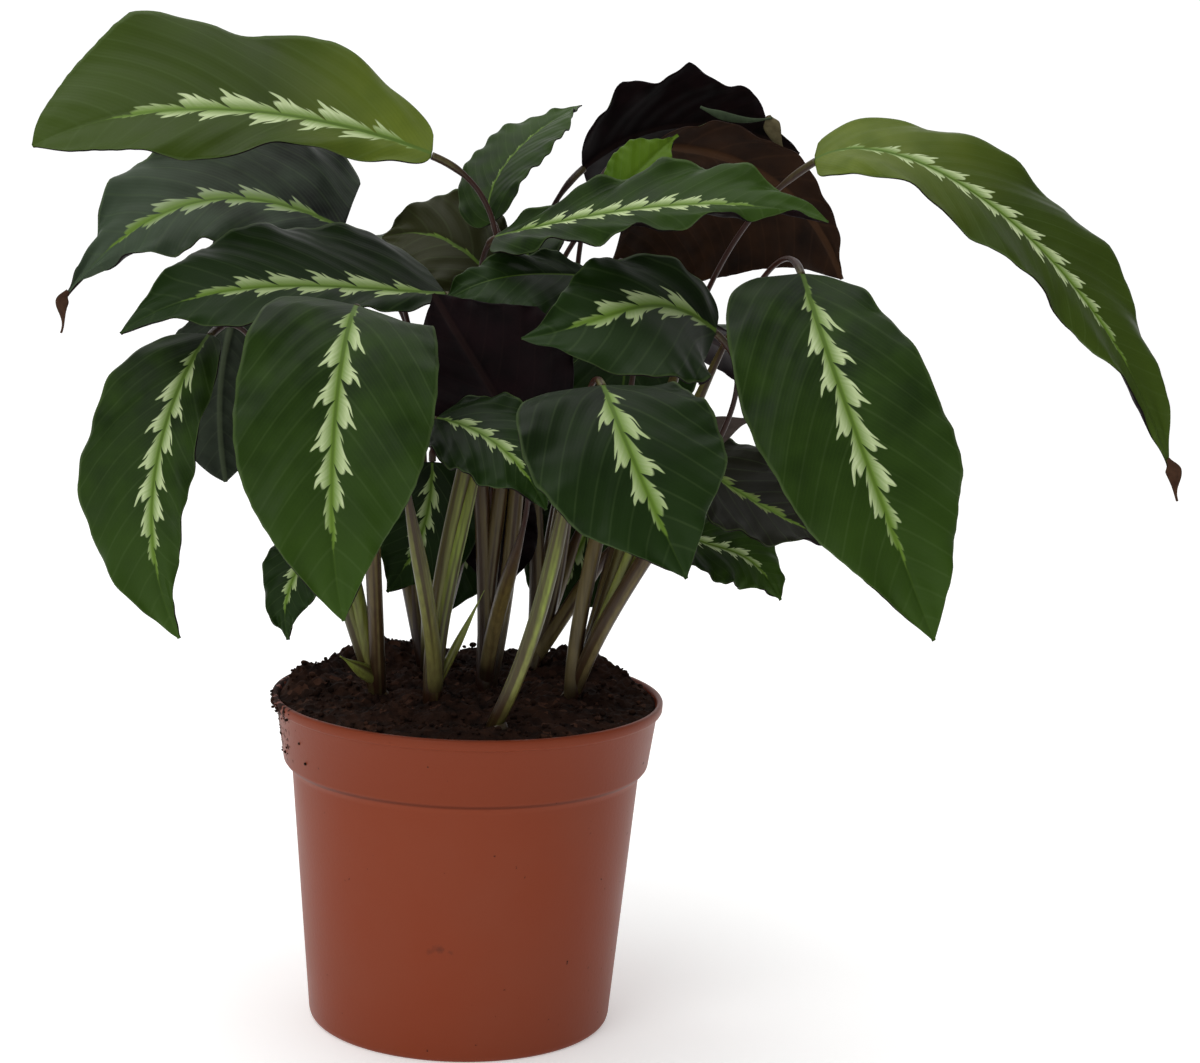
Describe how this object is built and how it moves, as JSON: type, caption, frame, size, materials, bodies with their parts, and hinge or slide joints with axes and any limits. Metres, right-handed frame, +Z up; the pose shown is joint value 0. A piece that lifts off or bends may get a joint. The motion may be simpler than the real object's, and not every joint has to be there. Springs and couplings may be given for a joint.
{
  "type": "potted calathea",
  "caption": "A potted calathea house plant: broad pointed leaves with feathered pale markings on long stalks, in soil, in a round tapered terracotta-coloured nursery pot.",
  "frame": {"origin": "middle of the pot's foot, on the surface that it stands on", "axes": "+Z up, -Y the side that the plant is seen from, +X to the right of it"},
  "size_m": [0.3288, 0.2676, 0.3047],
  "materials": {
    "pot_plastic": "moulded terracotta-coloured plastic, lightly glossy",
    "potting_soil": "crumbly dark potting soil",
    "stalk": "smooth green to red-brown leaf stalks",
    "leaf": "satin dark green leaf with pale feathered markings and a purple underside"
  },
  "bodies": {
    "root": {"pot": "pot_plastic", "soil": "potting_soil", "stalks_front": "stalk", "stalks_inner": "stalk", "stalks_left": "stalk", "stalks_middle": "stalk", "stalks_rear": "stalk", "stalks_rear_right": "stalk", "stalks_right": "stalk", "leaf_arch_left": "leaf", "leaf_back_centre": "leaf", "leaf_back_left": "leaf", "leaf_back_low_left": "leaf", "leaf_back_right": "leaf", "leaf_brown_back": "leaf", "leaf_centre": "leaf", "leaf_centre_left_top": "leaf", "leaf_dark_centre": "leaf", "leaf_far_right": "leaf", "leaf_front_centre": "leaf", "leaf_front_left": "leaf", "leaf_inner_left": "leaf", "leaf_inner_right": "leaf", "leaf_left_back": "leaf", "leaf_left_centre_back": "leaf", "leaf_left_inner": "leaf", "leaf_low_back_centre": "leaf", "leaf_low_back_right": "leaf", "leaf_low_centre": "leaf", "leaf_low_left": "leaf", "leaf_low_middle": "leaf", "leaf_low_right": "leaf", "leaf_low_right_small": "leaf", "leaf_low_small_left": "leaf", "leaf_mid_left": "leaf", "leaf_new_leaf": "leaf", "leaf_purple_centre": "leaf", "leaf_right_front": "leaf", "leaf_top_back": "leaf", "leaf_top_centre": "leaf", "leaf_top_left": "leaf"}
  },
  "joints": []
}
